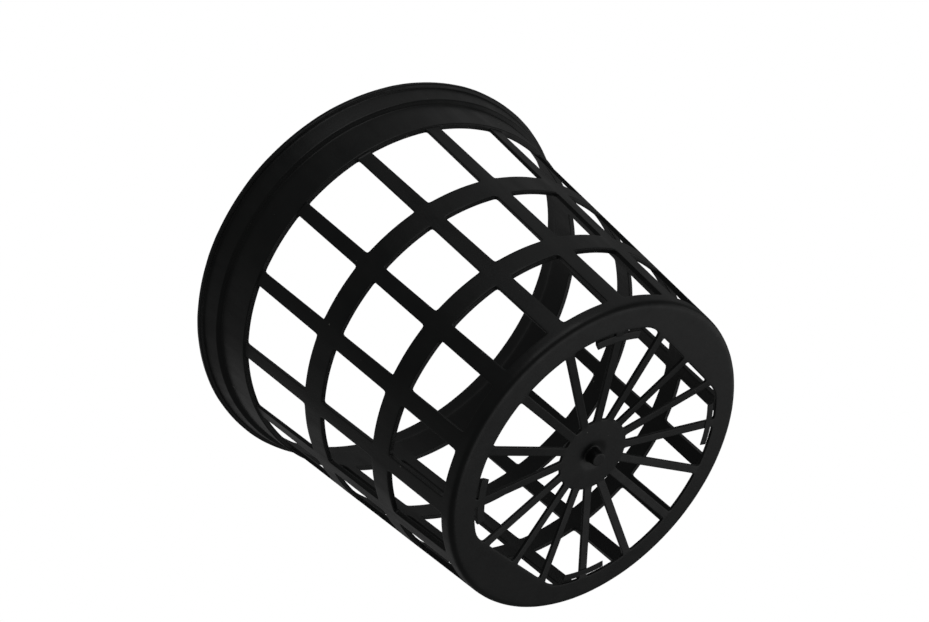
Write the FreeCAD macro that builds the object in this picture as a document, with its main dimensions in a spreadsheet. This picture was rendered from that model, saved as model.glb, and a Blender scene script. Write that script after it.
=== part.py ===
import FreeCAD, Part
import math
import os

import Sketcher

# Hydroponic net pot, moulded in one piece: a tapered cup whose wall is a lattice of upright bars and
# two level bands, closed at the mouth by a solid stepped collar with a rim. The floor is a ring whose
# opening has two straight sides, with spokes that climb to a raised hub. Four short curved lugs cross
# spokes near the floor's underside, a narrow slit inside the ring.
# The origin is the centre of the plane that the pot stands on, and +Z is the pot's axis.

NODE = "net_pot"

# name, millimetres or degrees or a count, meaning
SIZES = (
    ("base_radius", 28.8, "outer radius of the tapered wall at the plane it stands on"),
    ("draft_angle", 7.46, "slope of the wall from the axis"),
    ("wall_thickness", 1.0, "thickness of the lattice at the floor, level, from outside to inside"),
    ("wall_thickness_top", 0.6, "thickness of the same wall at the collar's step"),
    ("base_round", 1.0, "radius of the outer lower edge"),
    ("band_height", 2.3, "height of the solid band at the foot of the wall"),
    ("low_window_height", 13.1, "height of the lowest row of windows"),
    ("lower_band_height", 4.1, "height of the band above the lowest row"),
    ("middle_window_height", 13.8, "height of the middle row of windows"),
    ("upper_band_height", 4.6, "height of the band above the middle row"),
    ("high_window_height", 17.7, "height of the highest row of windows"),
    ("bar_count", 16, "upright bars in the wall, and spokes in the floor"),
    ("bar_width_base", 3.1, "width of a bar at the base plane"),
    ("bar_width_collar", 2.7, "width of a bar where it meets the collar"),
    ("window_round", 0.6, "radius of a window's corners"),
    ("collar_height", 6.9, "height of the collar's lower band"),
    ("collar_proud", 0.45, "how far the collar stands out from the lattice"),
    ("ledge_width", 0.85, "width of the step between the collar's two bands"),
    ("ledge_rise", 0.3, "climb of that step from its inner to its outer edge"),
    ("flare_height", 3.8, "height from the step's inner edge to the underside of the rim"),
    ("flare_width", 0.92, "radius gained by the upper band on its way to the rim"),
    ("rim_thickness", 1.1, "height of the rim's outer edge"),
    ("rim_overhang", 0.8, "how far the rim stands out from the upper band"),
    ("collar_wall", 1.1, "thickness of the upper band"),
    ("edge_round", 0.3, "radius of the edges of the collar and the rim"),
    ("floor_thickness", 0.55, "thickness of the floor ring, the spokes and the hub"),
    ("ring_width", 4.4, "width of the floor ring along its round sides"),
    ("flat_width", 7.4, "width of the floor ring at the middle of its straight sides"),
    ("opening_round", 1.0, "radius of the corners beside the straight sides"),
    ("spoke_width", 1.5, "width of a spoke"),
    ("spoke_root", 1.2, "length of a spoke inside the ring and inside the hub"),
    ("hub_radius", 6.7, "radius of the hub"),
    ("hub_rise", 2.0, "height of the hub's underside above the base plane"),
    ("dimple_radius", 2.8, "radius of the dimple under the hub"),
    ("dimple_depth", 0.4, "depth of that dimple at its middle"),
    ("gate_radius", 1.4, "radius of the moulding stub at its root in the dimple"),
    ("gate_tip_radius", 1.2, "radius of the stub at its tip"),
    ("gate_length", 1.9, "length of the stub, which stays above the base plane"),
    ("lug_count", 4, "curved lugs round the opening"),
    ("lug_gap", 0.5, "gap between the ring's round edge and a lug"),
    ("lug_thickness", 1.4, "width of a lug's underside, along the radius"),
    ("lug_taper", 0.7, "amount that a lug's inner side leans outwards to its top"),
    ("lug_length", 8.6, "length of a lug round the pot"),
    ("lug_start", 0.1, "height of a lug's lower edge above the base plane"),
    ("lug_height", 0.6, "height of a lug"),
)

doc = FreeCAD.newDocument("NetPot")


def make_sheet():
    """The spreadsheet of driving dimensions, one row for each, with its name as the alias."""
    sheet = doc.addObject("Spreadsheet::Sheet", "Sizes")
    for row, (name, value, meaning) in enumerate(SIZES, start=1):
        sheet.set(f"A{row}", name)
        sheet.set(f"B{row}", str(value))
        sheet.set(f"C{row}", meaning)
        sheet.setAlias(f"B{row}", name)
    doc.recompute()
    return sheet


def size(name):
    """The expression that reads one driving dimension."""
    return f"Sizes.{name}"


def total(*terms):
    """The expression that adds up sizes and other expressions."""
    return "(" + " + ".join(terms) + ")"


def wall_radius(height):
    """Expression for the wall's outer radius at a height."""
    return f"({size('base_radius')} + {height} * tan({size('draft_angle')}))"


# Heights, from the base plane up.
BAND_TOP = size("band_height")
LOWER_BAND = total(BAND_TOP, size("low_window_height"))
LOWER_BAND_TOP = total(LOWER_BAND, size("lower_band_height"))
UPPER_BAND = total(LOWER_BAND_TOP, size("middle_window_height"))
UPPER_BAND_TOP = total(UPPER_BAND, size("upper_band_height"))
COLLAR = total(UPPER_BAND_TOP, size("high_window_height"))
LEDGE = total(COLLAR, size("collar_height"))
RIM_UNDERSIDE = total(LEDGE, size("flare_height"))
TOP = total(RIM_UNDERSIDE, size("rim_thickness"))

# Radii of the collar, each from the one below it.
LEDGE_INNER_RADIUS = total(wall_radius(LEDGE), size("collar_proud"))
LEDGE_OUTER_RADIUS = total(LEDGE_INNER_RADIUS, size("ledge_width"))
FLARE_RADIUS = total(LEDGE_OUTER_RADIUS, size("flare_width"))
RIM_RADIUS = total(FLARE_RADIUS, size("rim_overhang"))

# The floor.
OPENING_RADIUS = f"({size('base_radius')} - {size('ring_width')})"
FLAT_DISTANCE = f"({size('base_radius')} - {size('flat_width')})"
HUB_TOP = total(size("hub_rise"), size("floor_thickness"))


def origin_feature(body, role):
    """One of the body's own planes or axes."""
    return next(f for f in body.Origin.OriginFeatures if f.Role == role)


def new_sketch(body, name, plane, turn=None):
    """A sketch on one of the body's planes, turned about the pot's axis by the expression turn."""
    sketch = body.newObject("Sketcher::SketchObject", name)
    sketch.AttachmentSupport = [(origin_feature(body, plane), "")]
    sketch.MapMode = "FlatFace"
    if turn is not None:
        start = FreeCAD.Rotation(FreeCAD.Vector(0, 1, 0), 1)
        sketch.AttachmentOffset = FreeCAD.Placement(FreeCAD.Vector(0, 0, 0), start)
        sketch.setExpression(".AttachmentOffset.Rotation.Angle", turn)
    return sketch


def value_of(expression):
    """The number that an expression of the sheet's sizes gives."""
    found = doc.getObject("Sizes").evalExpression(expression)
    return float(getattr(found, "Value", found))


def place_point(sketch, geometry, which, name, across, up):
    """Binds a point of the sketch to two expressions, its distances from the sketch's axes."""
    for kind, direction, expression in (("x", "DistanceX", across), ("y", "DistanceY", up)):
        if expression == "0":
            axis = -2 if kind == "x" else -1
            sketch.addConstraint(Sketcher.Constraint("PointOnObject", geometry, which, axis))
            continue
        number = value_of(expression)
        index = sketch.addConstraint(Sketcher.Constraint(direction, -1, 1, geometry, which, number))
        sketch.renameConstraint(index, f"{name}_{kind}")
        sketch.setExpression(f"Constraints.{name}_{kind}", expression)


def draw_profile(sketch, points):
    """A closed outline of straight lines through named points, each at (across, up) expressions."""
    corners = [FreeCAD.Vector(value_of(across), value_of(up), 0) for _, across, up in points]
    count = len(points)
    for index in range(count):
        line = Part.LineSegment(corners[index], corners[(index + 1) % count])
        sketch.addGeometry(line, False)
    for index in range(count):
        following = (index + 1) % count
        sketch.addConstraint(Sketcher.Constraint("Coincident", index, 2, following, 1))
    for index, (name, across, up) in enumerate(points):
        place_point(sketch, index, 1, name, across, up)


def circular_edges(feature, places):
    """Names of the feature's edges that run round the axis through the given (radius, height)."""
    names = []
    for radius, height in places:
        for index, edge in enumerate(feature.Shape.Edges, start=1):
            box = edge.BoundBox
            same_height = abs(box.ZMin - height) < 1e-4 and abs(box.ZMax - height) < 1e-4
            if same_height and abs(box.XMax - radius) < 1e-4:
                names.append(f"Edge{index}")
    return names


def add_pattern(body, name, originals, count):
    """Copies features evenly round the axis."""
    pattern = body.newObject("PartDesign::PolarPattern", name)
    pattern.Originals = originals
    pattern.Axis = (origin_feature(body, "Z_Axis"), [""])
    pattern.Angle = 360
    pattern.setExpression("Occurrences", count)
    body.Tip = pattern
    doc.recompute()
    return pattern


def add_fillet(body, name, feature, edges, radius):
    """Rounds some edges of a feature."""
    fillet = body.newObject("PartDesign::Fillet", name)
    fillet.Base = (feature, edges)
    fillet.setExpression("Radius", radius)
    body.Tip = fillet
    doc.recompute()
    return fillet


def add_shell(body):
    """The cup before its windows are cut: floor, wall, collar and rim, turned about the axis."""
    sketch = new_sketch(body, "ShellProfile", "XZ_Plane")
    collar_foot = total(wall_radius(COLLAR), size("collar_proud"))
    step_top = total(LEDGE, size("ledge_rise"))
    inner_step_top = total(LEDGE, size("collar_wall"))
    inner_ledge = f"({wall_radius(LEDGE)} - {size('wall_thickness_top')})"
    floor_corner = f"({wall_radius(size('floor_thickness'))} - {size('wall_thickness')})"
    draw_profile(sketch, (
        ("centre", "0", "0"),
        ("base_edge", size("base_radius"), "0"),
        ("wall_top", wall_radius(COLLAR), COLLAR),
        ("collar_foot", collar_foot, COLLAR),
        ("ledge_inner", LEDGE_INNER_RADIUS, LEDGE),
        ("ledge_outer", LEDGE_OUTER_RADIUS, step_top),
        ("rim_neck", FLARE_RADIUS, RIM_UNDERSIDE),
        ("rim_lower", RIM_RADIUS, RIM_UNDERSIDE),
        ("rim_upper", RIM_RADIUS, TOP),
        ("mouth", f"({FLARE_RADIUS} - {size('collar_wall')})", TOP),
        ("inner_flare", f"({LEDGE_OUTER_RADIUS} - {size('collar_wall')})", inner_step_top),
        ("inner_ledge", inner_ledge, LEDGE),
        ("floor_corner", floor_corner, size("floor_thickness")),
        ("floor_middle", "0", size("floor_thickness")),
    ))
    shell = body.newObject("PartDesign::Revolution", "Shell")
    shell.Profile = sketch
    shell.ReferenceAxis = (sketch, ["V_Axis"])
    shell.Angle = 360
    body.Tip = shell
    doc.recompute()

    foot = circular_edges(shell, [(value_of(size("base_radius")), 0.0)])
    rounded_foot = add_fillet(body, "FootRound", shell, foot, size("base_round"))
    top = value_of(TOP)
    edges = circular_edges(rounded_foot, [
        (value_of(collar_foot), value_of(COLLAR)),
        (value_of(LEDGE_OUTER_RADIUS), value_of(step_top)),
        (value_of(RIM_RADIUS), value_of(RIM_UNDERSIDE)),
        (value_of(RIM_RADIUS), top),
        (value_of(f"{FLARE_RADIUS} - {size('collar_wall')}"), top),
    ])
    return add_fillet(body, "CollarRounds", rounded_foot, edges, size("edge_round"))


def add_floor_opening(body):
    """The hole in the floor: round, with two straight sides that face each other along Y."""
    sketch = new_sketch(body, "OpeningOutline", "XY_Plane")
    radius = value_of(OPENING_RADIUS)
    distance = value_of(FLAT_DISTANCE)
    reach = math.asin(distance / radius)
    circle = Part.Circle(FreeCAD.Vector(0, 0, 0), FreeCAD.Vector(0, 0, 1), radius)
    half = radius * math.cos(reach)
    sketch.addGeometry(Part.ArcOfCircle(circle, -reach, reach), False)
    upper = Part.LineSegment(FreeCAD.Vector(half, distance, 0), FreeCAD.Vector(-half, distance, 0))
    sketch.addGeometry(upper, False)
    sketch.addGeometry(Part.ArcOfCircle(circle, math.pi - reach, math.pi + reach), False)
    lower = Part.LineSegment(FreeCAD.Vector(-half, -distance, 0), FreeCAD.Vector(half, -distance, 0))
    sketch.addGeometry(lower, False)
    right_arc, top_line, left_arc, bottom_line = range(4)
    for constraint in (
        Sketcher.Constraint("Coincident", right_arc, 2, top_line, 1),
        Sketcher.Constraint("Coincident", top_line, 2, left_arc, 1),
        Sketcher.Constraint("Coincident", left_arc, 2, bottom_line, 1),
        Sketcher.Constraint("Coincident", bottom_line, 2, right_arc, 1),
        Sketcher.Constraint("Coincident", right_arc, 3, -1, 1),
        Sketcher.Constraint("Coincident", left_arc, 3, -1, 1),
        Sketcher.Constraint("Horizontal", top_line),
        Sketcher.Constraint("Horizontal", bottom_line),
        Sketcher.Constraint("Equal", right_arc, left_arc),
    ):
        sketch.addConstraint(constraint)
    index = sketch.addConstraint(Sketcher.Constraint("Radius", right_arc, radius))
    sketch.renameConstraint(index, "opening_radius")
    sketch.setExpression("Constraints.opening_radius", OPENING_RADIUS)
    index = sketch.addConstraint(Sketcher.Constraint("DistanceY", -1, 1, top_line, 1, distance))
    sketch.renameConstraint(index, "upper_flat")
    sketch.setExpression("Constraints.upper_flat", FLAT_DISTANCE)
    index = sketch.addConstraint(Sketcher.Constraint("DistanceY", bottom_line, 1, -1, 1, distance))
    sketch.renameConstraint(index, "lower_flat")
    sketch.setExpression("Constraints.lower_flat", FLAT_DISTANCE)

    pocket = body.newObject("PartDesign::Pocket", "FloorOpening")
    pocket.Profile = sketch
    pocket.Reversed = True
    pocket.setExpression("Length", total(size("floor_thickness"), size("floor_thickness")))
    body.Tip = pocket
    doc.recompute()
    corners = []
    for index, edge in enumerate(pocket.Shape.Edges, start=1):
        box = edge.BoundBox
        upright = box.XLength < 1e-4 and box.YLength < 1e-4
        if upright and abs(abs(box.YMin) - distance) < 1e-4 and abs(abs(box.XMin) - half) < 1e-4:
            corners.append(f"Edge{index}")
    return add_fillet(body, "OpeningRounds", pocket, corners, size("opening_round"))


def window_corner(height):
    """Expression for half a window's width at a height, square to the window's own middle line."""
    half_turn = f"(180 / {size('bar_count')})"
    taper = f"({size('bar_width_collar')} - {size('bar_width_base')}) * {height} / {COLLAR}"
    half_bar = f"(({size('bar_width_base')} + {taper}) / 2)"
    return f"({wall_radius(height)} * sin({half_turn}) - {half_bar} * cos({half_turn}))"


def draw_window(sketch, bottom, top):
    """A window: wider at the top, mirrored about its middle line, with rounded corners."""
    bottom_half = window_corner(bottom)
    top_half = window_corner(top)
    points = (
        ("low_right", bottom_half, bottom),
        ("high_right", top_half, top),
        ("high_left", f"(-{top_half})", top),
        ("low_left", f"(-{bottom_half})", bottom),
    )
    corners = [FreeCAD.Vector(value_of(across), value_of(up), 0) for _, across, up in points]
    radius = value_of(size("window_round"))
    count = len(points)
    sides = [(corners[(i + 1) % count] - corners[i]).normalize() for i in range(count)]
    setbacks = []
    for i in range(count):
        turn = sides[i - 1].getAngle(sides[i])
        setbacks.append(radius * math.tan(turn / 2))
    for i in range(count):
        following = (i + 1) % count
        start = corners[i] + sides[i] * setbacks[i]
        end = corners[following] - sides[i] * setbacks[following]
        sketch.addGeometry(Part.LineSegment(start, end), False)
    for i in range(count):
        before = corners[i] - sides[i - 1] * setbacks[i]
        after = corners[i] + sides[i] * setbacks[i]
        inward = FreeCAD.Vector(-sides[i].y, sides[i].x, 0)
        centre = after + inward * radius
        circle = Part.Circle(centre, FreeCAD.Vector(0, 0, 1), radius)
        start = math.atan2(before.y - centre.y, before.x - centre.x)
        end = math.atan2(after.y - centre.y, after.x - centre.x)
        sketch.addGeometry(Part.ArcOfCircle(circle, start, end), False)
    for i in range(count):
        sketch.addGeometry(Part.Point(corners[i]), True)
    for i, (name, across, up) in enumerate(points):
        arc = count + i
        corner = 2 * count + i
        sketch.addConstraint(Sketcher.Constraint("Tangent", (i - 1) % count, 2, arc, 1))
        sketch.addConstraint(Sketcher.Constraint("Tangent", arc, 2, i, 1))
        sketch.addConstraint(Sketcher.Constraint("PointOnObject", corner, 1, i))
        sketch.addConstraint(Sketcher.Constraint("PointOnObject", corner, 1, (i - 1) % count))
        place_point(sketch, corner, 1, name, across, up)
        index = sketch.addConstraint(Sketcher.Constraint("Radius", arc, radius))
        sketch.renameConstraint(index, f"{name}_round")
        sketch.setExpression(f"Constraints.{name}_round", size("window_round"))


def add_windows(body):
    """Three rows of windows, cut straight out from the axis, so the bars narrow inwards."""
    rows = (
        ("LowWindow", BAND_TOP, LOWER_BAND),
        ("MiddleWindow", LOWER_BAND_TOP, UPPER_BAND),
        ("HighWindow", UPPER_BAND_TOP, COLLAR),
    )
    pockets = []
    for name, bottom, top in rows:
        sketch = new_sketch(body, f"{name}Outline", "XZ_Plane", f"180 / {size('bar_count')}")
        draw_window(sketch, bottom, top)
        pocket = body.newObject("PartDesign::Pocket", name)
        pocket.Profile = sketch
        pocket.setExpression("Length", RIM_RADIUS)
        body.Tip = pocket
        doc.recompute()
        pockets.append(pocket)
    return add_pattern(body, "WindowRing", pockets, size("bar_count"))


def add_spokes(body):
    """Flat spokes that climb from the ring to the hub."""
    sketch = new_sketch(body, "SpokeProfile", "XZ_Plane")
    inner_end = f"({size('hub_radius')} - {size('spoke_root')})"
    outer_end = total(OPENING_RADIUS, size("spoke_root"))
    draw_profile(sketch, (
        ("inner_low", inner_end, size("hub_rise")),
        ("hub_low", size("hub_radius"), size("hub_rise")),
        ("ring_low", OPENING_RADIUS, "0"),
        ("outer_low", outer_end, "0"),
        ("outer_high", outer_end, size("floor_thickness")),
        ("ring_high", OPENING_RADIUS, size("floor_thickness")),
        ("hub_high", size("hub_radius"), HUB_TOP),
        ("inner_high", inner_end, HUB_TOP),
    ))
    spoke = body.newObject("PartDesign::Pad", "Spoke")
    spoke.Profile = sketch
    spoke.Midplane = True
    spoke.setExpression("Length", size("spoke_width"))
    body.Tip = spoke
    doc.recompute()
    return add_pattern(body, "SpokeRing", [spoke], size("bar_count"))


def add_hub(body):
    """The hub: a disc with a shallow dimple underneath, and the stub of the moulding gate in it."""
    sketch = new_sketch(body, "HubProfile", "XZ_Plane")
    dimple = total(size("hub_rise"), size("dimple_depth"))
    tip = f"({dimple} - {size('gate_length')})"
    draw_profile(sketch, (
        ("gate_middle", "0", tip),
        ("gate_tip", size("gate_tip_radius"), tip),
        ("gate_root", size("gate_radius"), dimple),
        ("dimple_edge", size("dimple_radius"), size("hub_rise")),
        ("hub_low", size("hub_radius"), size("hub_rise")),
        ("hub_high", size("hub_radius"), HUB_TOP),
        ("hub_middle", "0", HUB_TOP),
    ))
    hub = body.newObject("PartDesign::Revolution", "Hub")
    hub.Profile = sketch
    hub.ReferenceAxis = (sketch, ["V_Axis"])
    hub.Angle = 360
    body.Tip = hub
    doc.recompute()
    return hub


def add_lugs(body):
    """Curved lugs across the spokes, a narrow slit inside the ring."""
    sketch = new_sketch(body, "LugProfile", "XZ_Plane", f"180 / {size('lug_count')}")
    outer = f"({OPENING_RADIUS} - {size('lug_gap')})"
    inner = f"({outer} - {size('lug_thickness')})"
    upper = total(size("lug_start"), size("lug_height"))
    draw_profile(sketch, (
        ("inner_low", inner, size("lug_start")),
        ("outer_low", outer, size("lug_start")),
        ("outer_high", outer, upper),
        ("inner_high", total(inner, size("lug_taper")), upper),
    ))
    lug = body.newObject("PartDesign::Revolution", "Lug")
    lug.Profile = sketch
    lug.ReferenceAxis = (sketch, ["V_Axis"])
    lug.Midplane = True
    lug.setExpression("Angle", f"{size('lug_length')} / {outer} * 180 / pi")
    body.Tip = lug
    doc.recompute()
    return add_pattern(body, "LugRing", [lug], size("lug_count"))


def check_step(feature, before, grows):
    """Stops if a feature left the solid as it was, or changed it the wrong way."""
    after = feature.Shape.Volume
    if grows and after <= before:
        raise RuntimeError(f"{feature.Label} adds nothing")
    if not grows and after >= before:
        raise RuntimeError(f"{feature.Label} cuts nothing")
    return after


def build_pot():
    """The whole pot, feature by feature."""
    body = doc.addObject("PartDesign::Body", "Body")
    body.Label = NODE
    doc.recompute()
    volume = add_shell(body).Shape.Volume
    volume = check_step(add_floor_opening(body), volume, grows=False)
    volume = check_step(add_windows(body), volume, grows=False)
    volume = check_step(add_spokes(body), volume, grows=True)
    volume = check_step(add_hub(body), volume, grows=True)
    check_step(add_lugs(body), volume, grows=True)
    return body


def check_document():
    """Stops if any object of the document failed to build."""
    for item in doc.Objects:
        bad = [word for word in item.State if word in ("Invalid", "Error")]
        if bad:
            raise RuntimeError(f"{item.Label} failed: {bad}")


make_sheet()
pot = build_pot()
doc.recompute()
check_document()
shape = pot.Shape
if shape.isNull() or not shape.isValid() or len(shape.Solids) != 1:
    raise RuntimeError("the pot is not one valid solid")

os.makedirs("parts", exist_ok=True)
shape.exportStep(os.path.join("parts", f"{NODE}.step"))
box = shape.optimalBoundingBox(True, False)
print(f"{NODE}: {box.XLength:.2f} x {box.YLength:.2f} x {box.ZLength:.2f} mm,")
print(f"volume {shape.Volume:.0f} mm3, {len(shape.Faces)} faces")
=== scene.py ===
import math

import bmesh
import bpy
from mathutils import Matrix, Vector


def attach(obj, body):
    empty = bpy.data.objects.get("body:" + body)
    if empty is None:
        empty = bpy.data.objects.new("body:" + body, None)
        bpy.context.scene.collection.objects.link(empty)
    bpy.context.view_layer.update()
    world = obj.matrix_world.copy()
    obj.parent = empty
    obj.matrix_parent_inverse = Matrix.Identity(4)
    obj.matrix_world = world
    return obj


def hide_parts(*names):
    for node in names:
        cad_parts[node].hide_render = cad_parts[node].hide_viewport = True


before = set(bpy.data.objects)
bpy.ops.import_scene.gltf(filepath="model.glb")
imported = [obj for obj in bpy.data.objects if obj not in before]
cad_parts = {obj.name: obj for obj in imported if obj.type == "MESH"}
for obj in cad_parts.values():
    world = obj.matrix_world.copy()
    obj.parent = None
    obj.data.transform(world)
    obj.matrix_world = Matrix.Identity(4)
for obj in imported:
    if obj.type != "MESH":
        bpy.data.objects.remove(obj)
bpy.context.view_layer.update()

POT = "net_pot"
MM = 0.001

# The pot's sizes in millimetres, with the names that its source gives them.
BAR_COUNT = 16
BASE_RADIUS = 28.8
DRAFT = math.radians(7.46)
WALL_THICKNESS = 1.0
WALL_THICKNESS_TOP = 0.6
BASE_ROUND = 1.0
BAR_WIDTH_BASE = 3.1
BAR_WIDTH_COLLAR = 2.7
FLOOR_THICKNESS = 0.55
OPENING_RADIUS = 24.4
FLAT_DISTANCE = 21.4
SPOKE_WIDTH = 1.5
HUB_RADIUS = 6.7
HUB_RISE = 2.0
DIMPLE_RADIUS = 2.8
DIMPLE_DEPTH = 0.4
GATE_RADIUS = 1.4
GATE_TIP_RADIUS = 1.2
GATE_LENGTH = 1.9
LUG_COUNT = 4
LUG_GAP = 0.5
LUG_THICKNESS = 1.4
LUG_TAPER = 0.7
LUG_LENGTH = 8.6
LUG_START = 0.1
LUG_HEIGHT = 0.6

# Heights above the base plane.
BAND_TOP = 2.3
LOWER_BAND = (15.4, 19.5)
UPPER_BAND = (33.3, 37.9)
COLLAR = 55.6
LEDGE = 62.5
LEDGE_RISE = 0.3
RIM_UNDERSIDE = 66.3
TOP = 67.4

COLLAR_PROUD = 0.45
LEDGE_WIDTH = 0.85
FLARE_WIDTH = 0.92
RIM_OVERHANG = 0.8
COLLAR_WALL = 1.1
EDGE_ROUND = 0.3

# The cage that is subdivided into the pot. A line runs NEAR an edge on the plastic, to keep it crisp, and
# another runs BESIDE it on the hole's side, to round the hole's corners.
NEAR = 0.22
BESIDE = 0.8
JAMB_SHARES = (0.24, 0.76)
POLE_RADIUS = 0.05
RING_MIDDLE = 26.2
SECTOR = 2 * math.pi / BAR_COUNT


def mix(a, b, share):
    """The value that lies a share of the way from a to b."""
    return a + (b - a) * share


def wall_radius(height):
    """The wall's outside."""
    return BASE_RADIUS + height * math.tan(DRAFT)


def inner_radius(height):
    """The wall's inside, which thins from the floor to the collar's step."""
    low = wall_radius(FLOOR_THICKNESS) - WALL_THICKNESS
    high = wall_radius(LEDGE) - WALL_THICKNESS_TOP
    return mix(low, high, (height - FLOOR_THICKNESS) / (LEDGE - FLOOR_THICKNESS))


def bar_reach(radius, height):
    """Half a bar's angle at a radius: its sides are planes square to the window's own middle."""
    half_bar = mix(BAR_WIDTH_BASE, BAR_WIDTH_COLLAR, height / COLLAR) / 2
    half_window = wall_radius(height) * math.sin(SECTOR / 2) - half_bar * math.cos(SECTOR / 2)
    return SECTOR / 2 - math.asin(half_window / radius)


def spoke_reach(radius):
    """Half a spoke's angle at a radius. It stays the same inside the hub."""
    return math.asin(SPOKE_WIDTH / 2 / max(radius, HUB_RADIUS))


class Row:
    """One ring of the cage. flats is how much it follows the opening's straight sides, from 0 to 1, and
    reach is half the angle of a bar or spoke there."""

    def __init__(self, radius, height, flats, reach):
        self.radius = radius
        self.height = height
        self.flats = flats
        self.reach = reach


def floor_row(radius, height):
    """A ring of the floor, whose spokes widen into the wall's bars from the opening outwards."""
    if radius <= OPENING_RADIUS:
        flats = max(0.0, (radius - HUB_RADIUS) / (OPENING_RADIUS - HUB_RADIUS))
        return Row(radius, height, flats, spoke_reach(radius))
    share = (radius - OPENING_RADIUS) / (BASE_RADIUS - OPENING_RADIUS)
    reach = mix(spoke_reach(OPENING_RADIUS), bar_reach(BASE_RADIUS, 0.0), min(1.0, share))
    return Row(radius, height, max(0.0, 1.0 - 1.25 * share), reach)


def wall_row(radius, height):
    """A ring of the wall or of the collar, which carries the bars' lines on from its foot."""
    foot = min(height, COLLAR)
    return Row(radius, height, 0.0, bar_reach(min(radius, wall_radius(foot)), foot))


def spread(low, high, inner, margin):
    """Numbers from low to high: the ends, one at the margin from each, and some evenly between."""
    numbers = [low, low + margin]
    for step in range(1, inner + 1):
        numbers.append(mix(low + margin, high - margin, step / (inner + 1)))
    return numbers + [high - margin, high]


def hub_rows():
    """The hub's rings from its middle outwards: stub and dimple underneath, and its flat top."""
    dimple = HUB_RISE + DIMPLE_DEPTH
    tip = dimple - GATE_LENGTH
    under = [
        (POLE_RADIUS, tip), (0.45, tip), (0.8, tip), (GATE_TIP_RADIUS - 0.12, tip),
        (GATE_TIP_RADIUS, tip + 0.06), (GATE_TIP_RADIUS + 0.02, tip + 0.25),
        (mix(GATE_TIP_RADIUS, GATE_RADIUS, 0.4), mix(tip, dimple, 0.4)),
        (mix(GATE_TIP_RADIUS, GATE_RADIUS, 0.8), mix(tip, dimple, 0.8)), (GATE_RADIUS, dimple - 0.12),
        (GATE_RADIUS + 0.14, dimple - 0.03),
        (mix(GATE_RADIUS, DIMPLE_RADIUS, 0.5), mix(dimple, HUB_RISE, 0.5)),
        (DIMPLE_RADIUS - 0.12, HUB_RISE + 0.04), (DIMPLE_RADIUS + 0.15, HUB_RISE), (4.6, HUB_RISE),
        (HUB_RADIUS - NEAR, HUB_RISE), (HUB_RADIUS, HUB_RISE),
    ]
    top = HUB_RISE + FLOOR_THICKNESS
    over = [
        (POLE_RADIUS, top), (1.2, top), (3.8, top), (HUB_RADIUS - NEAR, top), (HUB_RADIUS, top),
    ]
    return [floor_row(*place) for place in under], [floor_row(*place) for place in over]


def spoke_rows():
    """The rings that cross the spokes, which climb from the opening's edge to the hub."""
    under = []
    for radius in spread(HUB_RADIUS, OPENING_RADIUS, 4, BESIDE):
        climb = (OPENING_RADIUS - radius) / (OPENING_RADIUS - HUB_RADIUS)
        under.append(floor_row(radius, HUB_RISE * climb))
    return under, [floor_row(row.radius, row.height + FLOOR_THICKNESS) for row in under]


def foot_rows():
    """The floor ring, the round at the wall's foot, and the solid band above it, outside and inside."""
    setback = BASE_ROUND * math.tan((math.pi / 2 - DRAFT) / 2)
    centre = BASE_RADIUS - setback
    under = [
        (OPENING_RADIUS, 0.0), (OPENING_RADIUS + NEAR, 0.0), (RING_MIDDLE, 0.0), (centre - 0.25, 0.0),
    ]
    steps = 4
    for step in range(steps + 1):
        turn = (math.pi / 2 - DRAFT) * step / steps
        across = centre + BASE_ROUND * math.sin(turn)
        under.append((across, BASE_ROUND * (1 - math.cos(turn))))
    outer = [floor_row(*place) for place in under]
    for height in (1.5, BAND_TOP - NEAR, BAND_TOP):
        outer.append(wall_row(wall_radius(height), height))
    corner = inner_radius(FLOOR_THICKNESS)
    over = [
        (OPENING_RADIUS, FLOOR_THICKNESS), (OPENING_RADIUS + NEAR, FLOOR_THICKNESS),
        (RING_MIDDLE, FLOOR_THICKNESS), (corner - 0.15, FLOOR_THICKNESS),
    ]
    inner = [floor_row(*place) for place in over]
    for height in (FLOOR_THICKNESS + 0.08, 1.2, BAND_TOP - NEAR, BAND_TOP):
        inner.append(wall_row(inner_radius(height), height))
    return outer, inner


def wall_rows(heights):
    """The wall's outside and inside at the same heights."""
    outer = [wall_row(wall_radius(height), height) for height in heights]
    return outer, [wall_row(inner_radius(height), height) for height in heights]


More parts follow.
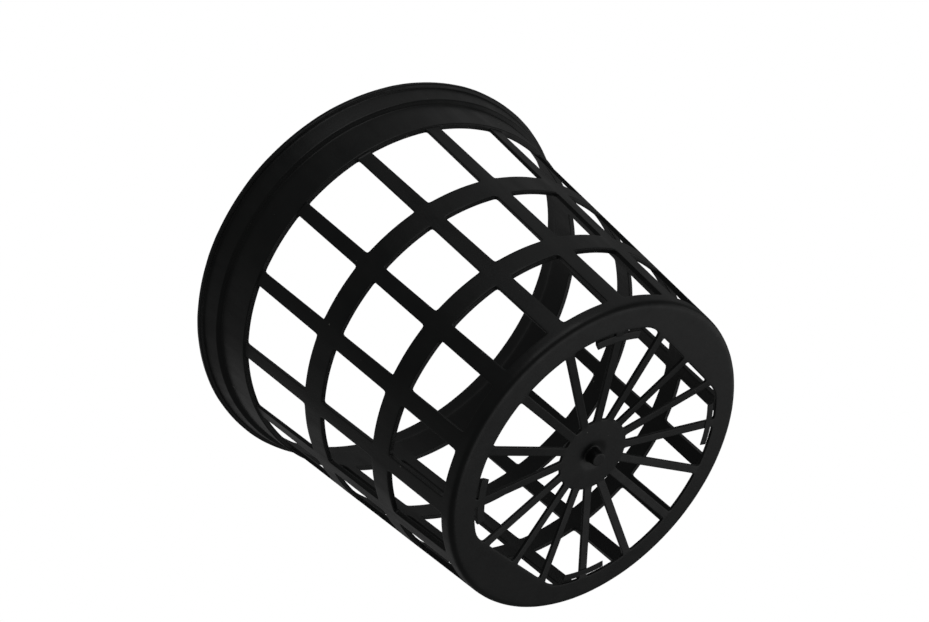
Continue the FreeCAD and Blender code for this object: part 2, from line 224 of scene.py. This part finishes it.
def collar_rows():
    """Outer rings up to the rim's lip, and inner rings from the collar's foot up to the same lip."""
    foot = wall_radius(COLLAR) + COLLAR_PROUD
    step_in = wall_radius(LEDGE) + COLLAR_PROUD
    step_out = step_in + LEDGE_WIDTH
    neck = step_out + FLARE_WIDTH
    rim = neck + RIM_OVERHANG
    mouth = neck - COLLAR_WALL
    step_top = LEDGE + LEDGE_RISE
    outer = [
        (wall_radius(COLLAR), COLLAR), (mix(wall_radius(COLLAR), foot, 0.5), COLLAR),
        (foot - 0.08, COLLAR + 0.02), (foot, COLLAR + 0.12), (foot + 0.03, COLLAR + 0.4),
        (mix(foot, step_in, 0.3), mix(COLLAR, LEDGE, 0.3)),
        (mix(foot, step_in, 0.65), mix(COLLAR, LEDGE, 0.65)), (step_in - 0.03, LEDGE - 0.25),
        (step_in, LEDGE - 0.04), (step_in + 0.12, LEDGE + 0.03), (step_out - 0.25, step_top - 0.09),
        (step_out - 0.05, step_top - 0.01),
        (step_out + 0.04, step_top + 0.1), (step_out + 0.1, step_top + 0.4),
        (mix(step_out, neck, 0.4), mix(LEDGE, RIM_UNDERSIDE, 0.42)),
        (mix(step_out, neck, 0.75), mix(LEDGE, RIM_UNDERSIDE, 0.75)), (neck - 0.05, RIM_UNDERSIDE - 0.22),
        (neck + 0.02, RIM_UNDERSIDE - 0.03), (neck + 0.15, RIM_UNDERSIDE), (rim - EDGE_ROUND, RIM_UNDERSIDE),
        (rim - 0.06, RIM_UNDERSIDE + 0.06), (rim, RIM_UNDERSIDE + EDGE_ROUND), (rim, TOP - EDGE_ROUND),
        (rim - 0.06, TOP - 0.06), (rim - EDGE_ROUND, TOP), (mix(mouth, rim, 0.5), TOP),
    ]
    inner = [
        (inner_radius(COLLAR), COLLAR), (inner_radius(COLLAR + NEAR), COLLAR + NEAR),
        (inner_radius(58.5), 58.5),
        (inner_radius(LEDGE - 0.25), LEDGE - 0.25), (inner_radius(LEDGE) + 0.02, LEDGE),
        (step_out - COLLAR_WALL - 0.12, LEDGE + COLLAR_WALL - 0.18),
        (step_out - COLLAR_WALL + 0.02, LEDGE + COLLAR_WALL + 0.08),
        (mix(step_out - COLLAR_WALL, mouth, 0.5), mix(LEDGE + COLLAR_WALL, TOP, 0.5)),
        (mouth - 0.04, TOP - EDGE_ROUND), (mouth + 0.06, TOP - 0.06), (mouth + EDGE_ROUND, TOP),
    ]
    return [wall_row(*place) for place in outer], [wall_row(*place) for place in inner]


# Every stretch of the sheet from the hub's middle to the rim, and whether holes cut it between the bars.
STRETCHES = (
    (hub_rows(), False),
    (spoke_rows(), True),
    (foot_rows(), False),
    (wall_rows(spread(BAND_TOP, LOWER_BAND[0], 2, BESIDE)), True),
    (wall_rows(spread(*LOWER_BAND, 1, NEAR)), False),
    (wall_rows(spread(LOWER_BAND[1], UPPER_BAND[0], 2, BESIDE)), True),
    (wall_rows(spread(*UPPER_BAND, 1, NEAR)), False),
    (wall_rows(spread(UPPER_BAND[1], COLLAR, 3, BESIDE)), True),
    (collar_rows(), False),
)

# The lines of one sector, from a bar's middle to the next bar's. The hole lies between SIDE and FAR_SIDE.
COLUMNS = 10
SIDE = 2
FAR_SIDE = 8


def column_angle(row, radius, column):
    """The angle from a bar's middle to a line of the cage."""
    sector, place = divmod(column, COLUMNS)
    hole = SECTOR - 2 * row.reach
    near = min(NEAR / radius, row.reach / 2)
    beside = min(BESIDE / radius, hole / 5)
    half = SECTOR / 2
    mirrored = place > COLUMNS / 2
    step = COLUMNS - place if mirrored else place
    clear = row.reach + beside
    angle = (0.0, row.reach - near, row.reach, clear, mix(clear, half, 0.5), half)[step]
    return sector * SECTOR + (SECTOR - angle if mirrored else angle)


def flats_depth(angle):
    """How far a straight side of the floor's opening lies inside the round one."""
    across = abs(math.sin(angle))
    if across * OPENING_RADIUS <= FLAT_DISTANCE:
        return 0.0
    return OPENING_RADIUS - FLAT_DISTANCE / across


def place_of(row, column):
    """Where the cage's line crosses its ring, in metres."""
    angle = column_angle(row, row.radius, column)
    radius = row.radius - row.flats * flats_depth(angle)
    return Vector((radius * math.cos(angle), radius * math.sin(angle), row.height)) * MM


def add_cap(mesh, ring):
    """Closes a small ring with a ladder of faces from one half to the other."""
    half = len(ring) // 2
    for index in range(half - 1):
        mesh.faces.new((ring[index], ring[index + 1], ring[-index - 2], ring[-index - 1]))


def build_pot():
    """The pot's cage: two skins from the hub to the rim, joined at the rim and round every hole."""
    mesh = bmesh.new()
    count = BAR_COUNT * COLUMNS
    below = None
    holes = []
    for (under, over), pierced in STRETCHES:
        layers = []
        for rows, earlier in zip((under, over), below or (None, None)):
            rings = [earlier] if earlier else []
            for row in rows[len(rings):]:
                rings.append([mesh.verts.new(place_of(row, column)) for column in range(count)])
            layers.append(rings)
        if below is None:
            for rings in layers:
                add_cap(mesh, rings[0])
        holes += add_stretch(mesh, layers, pierced)
        below = (layers[0][-1], layers[1][-1])
    for column in range(count):
        following = (column + 1) % count
        mesh.faces.new((below[0][column], below[0][following], below[1][following], below[1][column]))
    add_jambs(mesh, holes)
    return mesh


def solid_column(column, pierced):
    """Whether the strip that starts at this column is plastic."""
    place = column % COLUMNS
    return not pierced or place < SIDE or place >= FAR_SIDE


def add_stretch(mesh, layers, pierced):
    """The faces of a stretch in both skins. Gives the pairs of points round each of its holes."""
    count = len(layers[0][0])
    for rings in layers:
        for lower, upper in zip(rings, rings[1:]):
            for column in range(count):
                if solid_column(column, pierced):
                    following = (column + 1) % count
                    mesh.faces.new((lower[column], lower[following], upper[following], upper[column]))
    holes = []
    if not pierced:
        return holes
    under, over = layers
    for sector in range(BAR_COUNT):
        first = sector * COLUMNS + SIDE
        last = sector * COLUMNS + FAR_SIDE
        loop = [(0, column) for column in range(first, last)]
        loop += [(index, last) for index in range(len(under) - 1)]
        loop += [(len(under) - 1, column) for column in range(last, first, -1)]
        loop += [(index, first) for index in range(len(under) - 1, 0, -1)]
        holes.append([(under[row][column], over[row][column]) for row, column in loop])
    return holes


def add_jambs(mesh, holes):
    """The faces round each hole, from the outer skin to the inner one."""
    for ring in holes:
        lines = []
        for outer, inner in ring:
            between = [mesh.verts.new(outer.co.lerp(inner.co, share)) for share in JAMB_SHARES]
            lines.append([outer, *between, inner])
        for line, following in zip(lines, lines[1:] + lines[:1]):
            for level in range(len(line) - 1):
                mesh.faces.new((line[level], following[level], following[level + 1], line[level + 1]))


# The camera stands beside the pot and below it. Places in metres, roll in degrees, lens in millimetres.
CAMERA_PLACE = (0.18896, 0.00301, -0.14080)
CAMERA_AIM = (0.0, 0.00457, 0.04562)
CAMERA_ROLL = -50.171
CAMERA_LENS = 56.08
SENSOR_WIDTH = 36.0

# The floor lies just under the pot, so that the two don't share a plane.
FLOOR_HALF = 3.0
FLOOR_HEIGHT = -0.0004


def add_camera():
    """The camera at the photograph's angle: it looks up at the base from one side."""
    data = bpy.data.cameras.new("camera")
    camera = bpy.data.objects.new("camera", data)
    bpy.context.scene.collection.objects.link(camera)
    place, aim = Vector(CAMERA_PLACE), Vector(CAMERA_AIM)
    forward = (aim - place).normalized()
    level = forward.cross(Vector((0, 0, 1))).normalized()
    lift = level.cross(forward)
    roll = math.radians(CAMERA_ROLL)
    right = level * math.cos(roll) + lift * math.sin(roll)
    up = right.cross(forward)
    turn = Matrix((right, up, -forward)).transposed()
    camera.matrix_world = Matrix.Translation(place) @ turn.to_4x4()
    data.sensor_width = SENSOR_WIDTH
    data.lens = CAMERA_LENS
    data.clip_start = 0.01
    data.clip_end = 20.0
    bpy.context.scene.camera = camera


def node(tree, kind, **values):
    """A shader node with its plain inputs or properties set by name."""
    made = tree.nodes.new(kind)
    for name, value in values.items():
        if name in made.inputs:
            made.inputs[name].default_value = value
        else:
            setattr(made, name, value)
    return made


def black_plastic():
    """Moulded black polypropylene: faint flow streaks, mottling, an orange-peel skin and stray dust."""
    material = bpy.data.materials.new("black_polypropylene")
    material.use_nodes = True
    tree = material.node_tree
    tree.nodes.clear()
    link = tree.links.new
    out = tree.nodes.new("ShaderNodeOutputMaterial")
    shader = node(tree, "ShaderNodeBsdfPrincipled", IOR=1.49)
    link(shader.outputs[0], out.inputs[0])
    place = tree.nodes.new("ShaderNodeTexCoord")

    mottle = node(tree, "ShaderNodeTexNoise", Scale=140.0, Detail=4.0, Roughness=0.6)
    stretch = node(tree, "ShaderNodeMapping")
    stretch.inputs["Scale"].default_value = (1.0, 1.0, 0.18)
    streak = node(tree, "ShaderNodeTexNoise", Scale=420.0, Detail=3.0, Roughness=0.55)
    peel = node(tree, "ShaderNodeTexNoise", Scale=1800.0, Detail=2.0, Roughness=0.5)
    dust = node(tree, "ShaderNodeTexNoise", Scale=1100.0, Detail=1.0, Roughness=0.4)
    link(place.outputs["Object"], stretch.inputs["Vector"])
    link(stretch.outputs[0], streak.inputs["Vector"])
    for noise_node in (mottle, peel, dust):
        link(place.outputs["Object"], noise_node.inputs["Vector"])

    tint = tree.nodes.new("ShaderNodeValToRGB")
    tint.color_ramp.elements[0].position = 0.3
    tint.color_ramp.elements[0].color = (0.0065, 0.0075, 0.0080, 1)
    tint.color_ramp.elements[1].position = 0.7
    tint.color_ramp.elements[1].color = (0.0150, 0.0162, 0.0155, 1)
    link(mottle.outputs[0], tint.inputs[0])
    specks = tree.nodes.new("ShaderNodeValToRGB")
    specks.color_ramp.elements[0].position = 0.80
    specks.color_ramp.elements[0].color = (0, 0, 0, 1)
    specks.color_ramp.elements[1].position = 0.84
    specks.color_ramp.elements[1].color = (1, 1, 1, 1)
    link(dust.outputs[0], specks.inputs[0])
    dusted = node(tree, "ShaderNodeMix", data_type="RGBA")
    link(specks.outputs[0], dusted.inputs[0])
    link(tint.outputs[0], dusted.inputs[6])
    dusted.inputs[7].default_value = (0.22, 0.22, 0.20, 1)
    link(dusted.outputs[2], shader.inputs["Base Color"])

    gloss = node(tree, "ShaderNodeMapRange")
    gloss.inputs["From Min"].default_value = 0.3
    gloss.inputs["From Max"].default_value = 0.7
    gloss.inputs["To Min"].default_value = 0.33
    gloss.inputs["To Max"].default_value = 0.47
    link(streak.outputs[0], gloss.inputs["Value"])
    link(gloss.outputs[0], shader.inputs["Roughness"])

    flow = node(tree, "ShaderNodeBump", Strength=0.25, Distance=0.00012)
    skin = node(tree, "ShaderNodeBump", Strength=0.22, Distance=0.00005)
    link(streak.outputs[0], flow.inputs["Height"])
    link(peel.outputs[0], skin.inputs["Height"])
    link(flow.outputs[0], skin.inputs["Normal"])
    link(skin.outputs[0], shader.inputs["Normal"])
    return material


# Soft round lamps a metre from the pot: direction, and brightness where the white backdrop is 1.
LAMPS = (
    ("low_back", (-0.41, 0.11, -0.91), 0.505),
    ("right", (0.29, 0.92, 0.28), 0.115),
    ("left_back", (-0.39, -0.75, 0.53), 0.127),
    ("front", (0.76, 0.64, -0.03), 0.683),
    ("right_back", (-0.21, 0.78, 0.59), 0.095),
    ("low_right_back", (-0.75, 0.52, -0.41), 0.303),
    ("left", (0.40, -0.85, 0.34), 0.078),
)
LAMP_SIZE = 0.84
AMBIENT = 0.072


def add_lamps():
    """Soft lamps round the pot, each with its power worked out from the brightness of its face."""
    middle = Vector((0, 0, TOP / 2)) * MM
    area = math.pi * (LAMP_SIZE / 2) ** 2
    for name, direction, brightness in LAMPS:
        data = bpy.data.lights.new(f"lamp_{name}", "AREA")
        data.shape = "DISK"
        data.size = LAMP_SIZE
        data.energy = math.pi * area * brightness
        lamp = bpy.data.objects.new(f"lamp_{name}", data)
        bpy.context.scene.collection.objects.link(lamp)
        away = Vector(direction).normalized()
        lamp.location = middle + away
        lamp.rotation_euler = away.to_track_quat("Z", "Y").to_euler()
        lamp.visible_camera = False


def add_world():
    """A white backdrop for the camera, and a dim even light for everything else."""
    world = bpy.data.worlds.new("studio")
    bpy.context.scene.world = world
    world.use_nodes = True
    tree = world.node_tree
    tree.nodes.clear()
    out = tree.nodes.new("ShaderNodeOutputWorld")
    white = node(tree, "ShaderNodeBackground", Color=(1, 1, 1, 1), Strength=1.0)
    soft = node(tree, "ShaderNodeBackground", Color=(1, 1, 1, 1), Strength=AMBIENT)
    mix = tree.nodes.new("ShaderNodeMixShader")
    path = tree.nodes.new("ShaderNodeLightPath")
    tree.links.new(path.outputs["Is Camera Ray"], mix.inputs[0])
    tree.links.new(soft.outputs[0], mix.inputs[1])
    tree.links.new(white.outputs[0], mix.inputs[2])
    tree.links.new(mix.outputs[0], out.inputs[0])


def add_floor():
    """A pale floor that can be seen through from below, where the camera is."""
    material = bpy.data.materials.new("pale_floor")
    material.use_nodes = True
    tree = material.node_tree
    tree.nodes.clear()
    out = tree.nodes.new("ShaderNodeOutputMaterial")
    top = node(tree, "ShaderNodeBsdfDiffuse", Color=(0.85, 0.85, 0.85, 1))
    under = node(tree, "ShaderNodeBsdfTransparent")
    side = tree.nodes.new("ShaderNodeNewGeometry")
    mix = tree.nodes.new("ShaderNodeMixShader")
    tree.links.new(side.outputs["Backfacing"], mix.inputs[0])
    tree.links.new(top.outputs[0], mix.inputs[1])
    tree.links.new(under.outputs[0], mix.inputs[2])
    tree.links.new(mix.outputs[0], out.inputs[0])
    mesh = bpy.data.meshes.new("floor")
    signs = ((-1, -1), (1, -1), (1, 1), (-1, 1))
    corners = [(x * FLOOR_HALF, y * FLOOR_HALF, FLOOR_HEIGHT) for x, y in signs]
    mesh.from_pydata(corners, [], [(0, 1, 2, 3)])
    mesh.materials.append(material)
    floor = bpy.data.objects.new("floor", mesh)
    bpy.context.scene.collection.objects.link(floor)
    floor.visible_shadow = False
    floor.visible_diffuse = False
    floor.visible_glossy = False



# How far the points beside a lug's edges lie from them, and how large the middle face of its end is.
LUG_NEAR = 0.12
CAP_SHARE = 0.7


def turned_place(point, turn):
    """A point at (radius, height), turned about the pot's axis, in metres."""
    return Vector((point.x * math.cos(turn), point.x * math.sin(turn), point.y)) * MM


def lug_section():
    """A lug's corners in (radius, height), each as three points that keep its edge crisp."""
    outer = OPENING_RADIUS - LUG_GAP
    inner = outer - LUG_THICKNESS
    top = LUG_START + LUG_HEIGHT
    corners = [(inner, LUG_START), (outer, LUG_START), (outer, top), (inner + LUG_TAPER, top)]
    points = []
    for index, corner in enumerate(corners):
        corner = Vector(corner)
        before = Vector(corners[index - 1])
        after = Vector(corners[(index + 1) % len(corners)])
        points.append(corner + (before - corner).normalized() * LUG_NEAR)
        points.append(corner)
        points.append(corner + (after - corner).normalized() * LUG_NEAR)
    return points


def add_lug(mesh, middle):
    """A curved lug about the given angle."""
    outer = OPENING_RADIUS - LUG_GAP
    half = LUG_LENGTH / outer / 2
    section = lug_section()
    centre = sum(section, Vector((0, 0))) / len(section)
    end = LUG_NEAR / outer
    stations = [-half, -half + end] + [mix(-half + end, half - end, step / 10) for step in range(1, 10)]
    stations += [half - end, half]
    rings = [
        [mesh.verts.new(turned_place(point, middle + angle)) for point in section] for angle in stations
    ]
    for ring, following in zip(rings, rings[1:]):
        for index in range(len(section)):
            after = (index + 1) % len(section)
            mesh.faces.new((ring[index], ring[after], following[after], following[index]))
    for ring, angle in ((rings[0], stations[0]), (rings[-1], stations[-1])):
        inset = [
            mesh.verts.new(turned_place(mix(centre, point, CAP_SHARE), middle + angle)) for point in section
        ]
        for index in range(len(section)):
            after = (index + 1) % len(section)
            mesh.faces.new((ring[index], ring[after], inset[after], inset[index]))
        mesh.faces.new(inset)


def finished_mesh(mesh, name):
    """The cage as a subdivided mesh with smooth faces."""
    bmesh.ops.recalc_face_normals(mesh, faces=mesh.faces)
    cage = bpy.data.meshes.new(f"{name}_cage")
    mesh.to_mesh(cage)
    mesh.free()
    holder = bpy.data.objects.new(f"{name}_cage", cage)
    bpy.context.scene.collection.objects.link(holder)
    subdivision = holder.modifiers.new("subdivision", "SUBSURF")
    subdivision.levels = 1
    subdivision.render_levels = 1
    graph = bpy.context.evaluated_depsgraph_get()
    made = bpy.data.meshes.new_from_object(holder.evaluated_get(graph))
    made.name = name
    bpy.data.objects.remove(holder)
    bpy.data.meshes.remove(cage)
    made.polygons.foreach_set("use_smooth", [True] * len(made.polygons))
    return made


cage = build_pot()
for index in range(LUG_COUNT):
    add_lug(cage, math.radians(360 / LUG_COUNT * (index + 0.5)))
pot = bpy.data.objects.new("moulded_pot", finished_mesh(cage, "moulded_pot"))
bpy.context.scene.collection.objects.link(pot)
pot.data.materials.clear()
pot.data.materials.append(black_plastic())
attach(pot, "root")
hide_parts(POT)

bpy.context.scene.view_settings.view_transform = "Standard"
add_camera()
add_lamps()
add_world()
add_floor()
